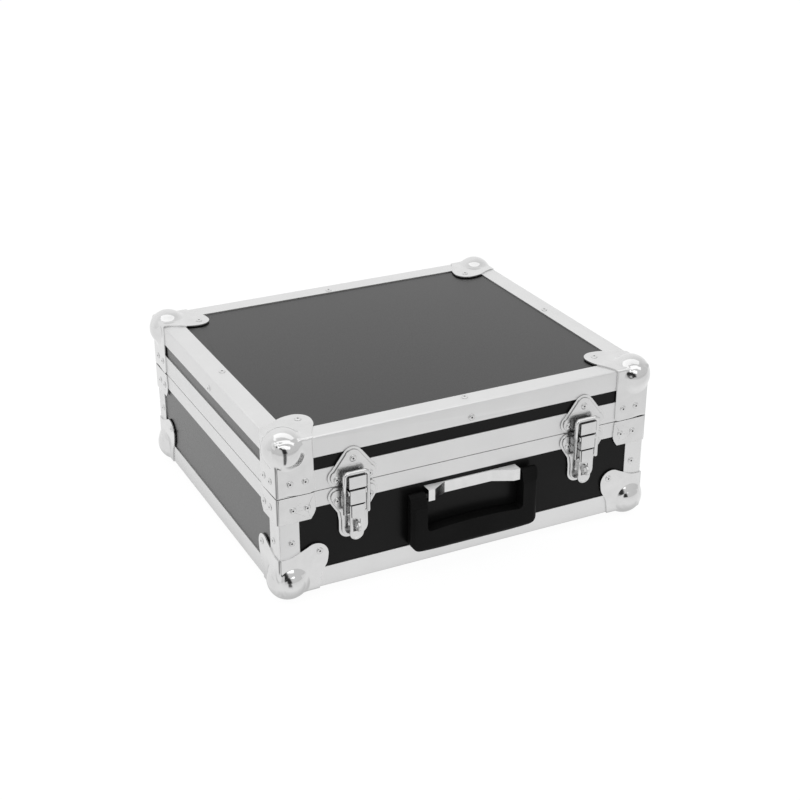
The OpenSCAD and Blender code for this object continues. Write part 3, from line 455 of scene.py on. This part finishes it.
def corner_point(x, y, z, ball):
    """Where a point of the sharp outer box goes on the pressed corner: fold radii, then the ball on its
    skirt, which ends in a crease on the flanges and fades into a rising ridge along the folds."""
    ball_height, skirt_power = ball
    low = FOLD_R - SHEET
    inner = Vector((max(x, low), max(y, low), max(z, low)))
    away = Vector((x, y, z)) - inner
    place = inner + away.normalized() * FOLD_R
    centre = Vector((BALL_IN, BALL_IN, ball_height))
    reach = place - centre
    over = reach.length - BALL_R
    skirt = rise_share(over, SKIRT_IN, SKIRT_OUT, skirt_power)
    ridge = rise_share(over, RIDGE_IN, RIDGE_OUT, RIDGE_POWER) if over < RIDGE_OUT else over
    from_fold = sorted((x, y, z))[1] + SHEET
    weight = min(1.0, from_fold / FOLD_BLEND)
    weight = weight * weight * (3 - 2 * weight)
    rise = weight * skirt + (1 - weight) * ridge
    gap = abs(rise - over)
    soft = (CREASE - gap) ** 2 / (4 * CREASE) if gap < CREASE and over > -1 else 0.0
    return centre + reach.normalized() * (BALL_R + max(rise, over) + soft)


# distances of the rows of points along a fold, and the step along them near the ball and beyond it
ROWS = (0.45, 0.9, 1.4, 1.9, 2.5, 3.2, 4.0)
NEAR_STEP = 0.9
FAR_STEP = 3.0
# the rings of points round the ball: their step, the spacing along them, and how far out they and the near
# steps along the rows go
RING_STEP = 0.8
RING_SPACING = 0.95
RING_REACH = BALL_R + 3
NEAR_REACH = RING_REACH + 8
# the few points elsewhere: their step, their distance from the rings and the rows, and from the outline
FLAT_STEP = 6.0
FLAT_GAP = 2
OUTLINE_GAP = 0.3


def sheet_points(outline, centre):
    """Flat triangles of one flange: along both folds the same rows, rings round the ball and few points
    elsewhere."""

    def stops(length):
        marks, s = [], -SHEET
        while s < length - 0.4:
            marks.append(s)
            s += NEAR_STEP if s < NEAR_REACH else FAR_STEP
        return marks

    bottom = [(s, -SHEET) for s in stops(outline[0][0])]
    side = [(-SHEET, s) for s in stops(outline[-1][1])]
    loop = bottom + outline + side[:0:-1]
    points = [Vector(p) for p in loop]
    count = len(points)
    ring = [(points[k], points[(k + 1) % count]) for k in range(count)]

    def clear(p):
        crossings = 0
        for a, b in ring:
            if (a.y > p.y) != (b.y > p.y) and p.x < a.x + (p.y - a.y) / (b.y - a.y) * (b.x - a.x):
                crossings += 1
            along = b - a
            t = max(0.0, min(1.0, (p - a).dot(along) / max(along.length_squared, 1e-9)))
            if (a + along * t - p).length < OUTLINE_GAP:
                return False
        return crossings % 2 == 1

    extra = []
    for offset in ROWS:
        row = offset - SHEET
        extra += [Vector((s, row)) for s in stops(outline[0][0])[1:] if s > row + 0.2]
        extra += [Vector((row, s)) for s in stops(outline[-1][1])[1:] if s > row + 0.2]
    low = ROWS[-1] - SHEET + 0.5
    radius = NEAR_STEP
    while radius < RING_REACH:
        steps = max(6, round(2 * math.pi * radius / RING_SPACING))
        for k in range(steps):
            turn = 2 * math.pi * (k + 0.5 * (round(radius / NEAR_STEP) % 2)) / steps
            p = Vector((centre[0] + radius * math.cos(turn), centre[1] + radius * math.sin(turn)))
            if min(p) > low:
                extra.append(p)
        radius += RING_STEP
    for i in range(10):
        for j in range(10):
            p = Vector((3 + i * FLAT_STEP, 3 + j * FLAT_STEP))
            if (p - Vector(centre)).length > RING_REACH + FLAT_GAP and min(p) > low + FLAT_GAP:
                extra.append(p)
    points += [p for p in extra if clear(p)]
    edges = [(k, (k + 1) % count) for k in range(count)]
    placed, _, faces, _, _, _ = delaunay_2d_cdt(points, edges, [], 1, 1e-5)
    return placed, faces


def corner_shell(upright, ball):
    """The outer skin of a corner at the lower front left of a box whose edges are the axes."""
    made = bmesh.new()
    for kind in ("front", "side", "flat"):
        outline = FLAT_OUTLINE if kind == "flat" else upright
        centre = (BALL_IN, BALL_IN) if kind == "flat" else (BALL_IN, ball[0])
        points, faces = sheet_points(outline, centre)
        verts = []
        for p in points:
            place = {"front": (p.x, -SHEET, p.y), "side": (-SHEET, p.x, p.y), "flat": (p.x, p.y, -SHEET)}
            verts.append(made.verts.new(corner_point(*place[kind], ball)))
        for face in faces:
            corners = [verts[k] for k in face]
            if kind != "front":
                corners.reverse()
            made.faces.new(corners)
    bmesh.ops.remove_doubles(made, verts=made.verts, dist=0.02)
    return made


def add_corner(name, body, upright, right, back, top, node_name):
    made = corner_shell(upright, TOP_BALL if top else LOW_BALL)
    # the case stands on the lower balls
    if not top:
        for v in made.verts:
            v.co.z = max(v.co.z, -BASE_LIFT)
    place = Matrix.Diagonal([-MM if far else MM for far in (right, back, top)] + [1])
    place = Matrix.Translation((X1 if right else X0, Y1 if back else Y0, Z1 if top else Z0)) @ place
    made.transform(place)
    if (right + back + top) % 2:
        bmesh.ops.reverse_faces(made, faces=made.faces)
    shape = finish_mesh(name, made, STEEL, body)
    thick = shape.modifiers.new("sheet", "SOLIDIFY")
    thick.thickness = (SHEET - 0.02) * MM
    thick.offset = -1
    soft_edges(shape, "soft_rim", 0.3, 2, RIM_ANGLE)
    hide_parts(node_name)


for code, right, back in (("fl", 0, 0), ("fr", 1, 0), ("bl", 0, 1), ("br", 1, 1)):
    add_corner("ball_corner_low_" + code, "base", BASE_OUTLINE, right, back, 0, "base_corner_" + code)
    add_corner("ball_corner_top_" + code, "lid", LID_OUTLINE, right, back, 1, "lid_corner_" + code)


def islands(name):
    """The separate solids of a CAD node, each as its points."""
    made = bmesh.new()
    made.from_mesh(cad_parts[name].data)
    bmesh.ops.remove_doubles(made, verts=made.verts, dist=1e-6)
    seen, groups = set(), []
    for start in made.verts:
        if start in seen:
            continue
        stack, group = [start], []
        seen.add(start)
        while stack:
            v = stack.pop()
            group.append(v.co / MM)
            for e in v.link_edges:
                w = e.other_vert(v)
                if w not in seen:
                    seen.add(w)
                    stack.append(w)
        groups.append(group)
    made.free()
    return groups


def stud_frame(points):
    """Where a CAD rivet or screw sits, its axis outwards and its length."""
    low = Vector([min(p[k] for p in points) for k in range(3)])
    high = Vector([max(p[k] for p in points) for k in range(3)])
    size = high - low
    # the axis is the direction whose extent is least like the other two
    axis = max(range(3), key=lambda k: min(abs(size[k] - size[k - 1]), abs(size[k] - size[k - 2])))
    middle = (low + high) / 2
    cross = (axis + 1) % 3
    wide = max(abs(p[cross] - middle[cross]) for p in points)
    broad = [p[axis] for p in points if abs(p[cross] - middle[cross]) > 0.95 * wide]
    sign = 1 if sum(broad) / len(broad) > middle[axis] else -1
    out = Vector((0, 0, 0))
    out[axis] = sign
    seat = middle.copy()
    seat[axis] = min(broad, key=lambda b: b * sign)
    return seat, out, size[axis]


# turned profiles: radius and height of each ring; from HOLE_RING on, the lip, walls and floor of a rivet's
# hole take a dark steel: the rivet's dark mandrel, and painted shade in the hole
RIVET_PROFILE = [(3.3, 0.0), (3.3, 0.22), (3.14, 0.46), (2.86, 0.64), (2.4, 0.82), (1.9, 0.95), (1.4, 1.03),
                 (1.05, 1.04), (0.88, 0.98), (0.8, 0.8), (0.8, 0.45), (0.5, 0.42), (0.0, 0.45)]
HOLE_RING = 8
SCREW_PROFILE = [(3.3, 0.0), (3.25, 0.35), (2.9, 0.8), (2.2, 1.1), (1.3, 1.24), (0.0, 1.3)]
# studs of this length and more are screws
SCREW_LENGTH = 8
LATHE_STEPS = 28


def lathe(made, profile, seat, out):
    place = Matrix.Translation(seat) @ out.to_track_quat("Z", "Y").to_matrix().to_4x4()
    turns = [2 * math.pi * k / LATHE_STEPS for k in range(LATHE_STEPS)]
    rings = []
    for radius, height in profile:
        if radius:
            ring = [Vector((radius * math.cos(turn), radius * math.sin(turn), height)) for turn in turns]
        else:
            ring = [Vector((0, 0, height))]
        rings.append([made.verts.new(place @ p) for p in ring])
    for number, (low, high) in enumerate(zip(rings, rings[1:])):
        for k in range(LATHE_STEPS):
            j = (k + 1) % LATHE_STEPS
            upper = (high[0],) if len(high) == 1 else (high[j], high[k])
            face = made.faces.new((low[k], low[j], *upper))
            face.material_index = 1 if profile is RIVET_PROFILE and number >= HOLE_RING else 0
    made.faces.new(list(reversed(rings[0])))


for part in ("base", "lid"):
    made = bmesh.new()
    for points in islands(part + "_rivets"):
        seat, out, length = stud_frame(points)
        lathe(made, RIVET_PROFILE if length < SCREW_LENGTH else SCREW_PROFILE, seat, out)
    made.transform(Matrix.Scale(MM, 4))
    heads = finish_mesh(part + "_rivet_heads", made, RIVET, part)
    heads.data.materials.append(MANDREL_AND_HOLE_SHADE)
    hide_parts(part + "_rivets")


# studio: brightness of the white floor to the camera, and how much of it glows rather than takes shadows
FLOOR_WHITE = 1.04
FLOOR_GLOW = 0.9
FLOOR_HALF = 6.0
# what mirrors see of the floor, painted into its glow, each as two levels and the two distances in metres
# between which it
# changes: painted light that dims away from the lamps, painted shade towards the room in front, and a painted
# contact shadow where it touches the case
LAMP_FADE = (1.0, 0.90, 0.03, 0.15)
ROOM_FADE = (1.0, 0.75, 0.45, 0.80)
CONTACT_SHADOW_FADE = (0.68, 1.0, 0.002, 0.022)
# a painted reflection: the dark leg of a camera stand, painted on the floor where only mirrors see it: where
# it meets the front of the case, how much it leans to the left with its distance ahead, its darkness between
# two half widths as shares of that distance, which counts from a little behind the front, and the distances
# where it starts; all in metres
LEG_AT = X0 + 12 * MM
LEG_LEAN = 0.2
LEG_BEHIND = 0.02
LEG_NEAREST = 0.01
LEG_SHADE = (0.95, 0.0, 0.09, 0.20)
LEG_START = (0.0, 1.0, 0.04, 0.08)


def stage_material():
    """White floor: its own shadow stays, camera rays see it as white, and glossy and transmission rays see
    its glow with painted reflections: dimmed away from the lamps and towards the room, a painted contact
    shadow and a painted dark leg.
    """
    made = bpy.data.materials.new("studio_floor")
    made.use_nodes = True
    tree = made.node_tree
    tree.nodes.clear()
    out = node(tree, "ShaderNodeOutputMaterial")
    diffuse = node(tree, "ShaderNodeBsdfDiffuse", {"Color": rgb(0.93)})
    rays = node(tree, "ShaderNodeLightPath").outputs
    split = split_xyz(tree, coordinates(tree, "Object"))
    ahead = math_node(tree, "SUBTRACT", Y0, split[1])
    aside = math_node(tree, "SUBTRACT", math_node(tree, "ABSOLUTE", split[0]), X1)
    behind = math_node(tree, "SUBTRACT", split[1], Y1)
    near = math_node(tree, "MAXIMUM", math_node(tree, "MAXIMUM", ahead, aside), behind)
    # the painted dark leg that mirrors see on the floor
    line = math_node(tree, "ADD", split[0], product(tree, ahead, LEG_LEAN))
    off = math_node(tree, "ABSOLUTE", math_node(tree, "SUBTRACT", line, LEG_AT))
    distance = math_node(tree, "MAXIMUM", math_node(tree, "ADD", ahead, LEG_BEHIND), LEG_NEAREST)
    off = math_node(tree, "DIVIDE", off, distance)
    leg = product(tree, spread(tree, off, *LEG_SHADE), spread(tree, ahead, *LEG_START))
    # painted reflections: the glow that mirrors see, dimmed by the fades, the painted contact shadow and the
    # painted leg
    mirrored = product(tree, spread(tree, ahead, *LAMP_FADE), spread(tree, ahead, *ROOM_FADE),
                       spread(tree, near, *CONTACT_SHADOW_FADE), math_node(tree, "SUBTRACT", 1.0, leg))
    strength = mix_value(tree, rays["Is Camera Ray"], mirrored, FLOOR_WHITE)
    glow = node(tree, "ShaderNodeEmission", {"Color": rgb(1.0), "Strength": strength})
    seen = math_node(tree, "ADD", rays["Is Camera Ray"], rays["Is Glossy Ray"])
    seen = math_node(tree, "ADD", seen, rays["Is Transmission Ray"])
    share = product(tree, math_node(tree, "MINIMUM", seen, 1.0), FLOOR_GLOW)
    both = node(tree, "ShaderNodeMixShader", {0: share, 1: diffuse.outputs[0], 2: glow.outputs[0]})
    tree.links.new(both.outputs[0], out.inputs["Surface"])
    return made


floor = bmesh.new()
bmesh.ops.create_grid(floor, x_segments=8, y_segments=8, size=FLOOR_HALF)
data = bpy.data.meshes.new("studio_floor")
floor.to_mesh(data)
floor.free()
data.materials.append(stage_material())
ground = bpy.data.objects.new("studio_floor", data)
bpy.context.scene.collection.objects.link(ground)

# the room, by the direction looked in: brighter behind the case than in front of it, and white to the camera
ROOM_LEVEL = (0.74, 1.02, -0.3, 0.7)
# the dark camera stand in it, a leaning line by the tangents of its azimuth and its height: its lean and its
# place, how uneven its edge is, and the half widths and heights at which it fades out
STAND_LEAN = 0.31
STAND_AT = 0.16
STAND_UNEVEN = 0.12
STAND_EDGE = (1.0, 0.0, 0.22, 0.34)
STAND_AHEAD = (0.0, 1.0, 0.2, 0.4)
STAND_TOP = (1.0, 0.0, 0.50, 0.62)
STAND_LEVEL = 0.03

world = bpy.data.worlds.new("studio")
bpy.context.scene.world = world
world.use_nodes = True
tree = world.node_tree
tree.nodes.clear()
out = node(tree, "ShaderNodeOutputWorld")
aim = coordinates(tree, "Generated")
split = split_xyz(tree, aim)
front = math_node(tree, "MAXIMUM", product(tree, split[1], -1.0), 0.02)
lean = product(tree, math_node(tree, "DIVIDE", split[2], front), STAND_LEAN)
line = math_node(tree, "ADD", math_node(tree, "DIVIDE", split[0], front), lean)
off = math_node(tree, "ABSOLUTE", math_node(tree, "ADD", line, STAND_AT))
off = math_node(tree, "ADD", off, product(tree, noise(tree, aim, 4.0, 2.0), STAND_UNEVEN))
stand = product(tree, spread(tree, off, *STAND_EDGE), spread(tree, front, *STAND_AHEAD),
                spread(tree, split[2], *STAND_TOP))
level = mix_value(tree, stand, spread(tree, split[1], *ROOM_LEVEL), STAND_LEVEL)
level = mix_value(tree, node(tree, "ShaderNodeLightPath").outputs["Is Camera Ray"], level, 1.0)
sky = node(tree, "ShaderNodeBackground", {"Color": rgb(1.0), "Strength": level})
tree.links.new(sky.outputs[0], out.inputs["Surface"])

# three long lamps over the camera: direction from the case, length and width in metres, and power of each;
# they lie along the picture's width
LAMPS = (
    ((0.08, 0.05, 0.99), 2.6, 0.80, 3.0),
    ((-0.04, -0.52, 0.85), 3.0, 0.48, 3.2),
    ((-0.25, -0.81, 0.53), 1.7, 0.34, 2.2),
)
LAMP_REACH = 1.6
LAMP_TARGET = Vector((0, 0, 0.1))
PICTURE_ACROSS = Vector((0.899, -0.438, 0.0))
for number, (way, length, width, power) in enumerate(LAMPS, 1):
    data = bpy.data.lights.new("strip_lamp_%d" % number, "AREA")
    data.shape = "RECTANGLE"
    data.size, data.size_y = length, width
    data.energy = power
    lamp = bpy.data.objects.new("strip_lamp_%d" % number, data)
    lamp.location = Vector(way) * LAMP_REACH
    toward = (LAMP_TARGET - lamp.location).normalized()
    along = (PICTURE_ACROSS - toward * PICTURE_ACROSS.dot(toward)).normalized()
    lamp.rotation_euler = Matrix((along, along.cross(toward), -toward)).transposed().to_euler()
    bpy.context.scene.collection.objects.link(lamp)

# the camera, as fitted to the photo's straight edges: its place from the lower front left of the box, its
# turn in degrees, and its lens
CAMERA_FROM_BOX = (-408.696, -1066.578, 724.949)
CAMERA_TURN = (65.00197, 0.0861, -26.380146)
camera_data = bpy.data.cameras.new("camera")
camera_data.sensor_width = 36
camera_data.lens = 67.19
camera_data.clip_start = 0.05
camera = bpy.data.objects.new("camera", camera_data)
camera.location = Vector((X0, Y0, Z0)) + Vector(CAMERA_FROM_BOX) * MM
camera.rotation_euler = [math.radians(turn) for turn in CAMERA_TURN]
bpy.context.scene.collection.objects.link(camera)
bpy.context.scene.camera = camera
bpy.context.scene.view_settings.view_transform = "Standard"
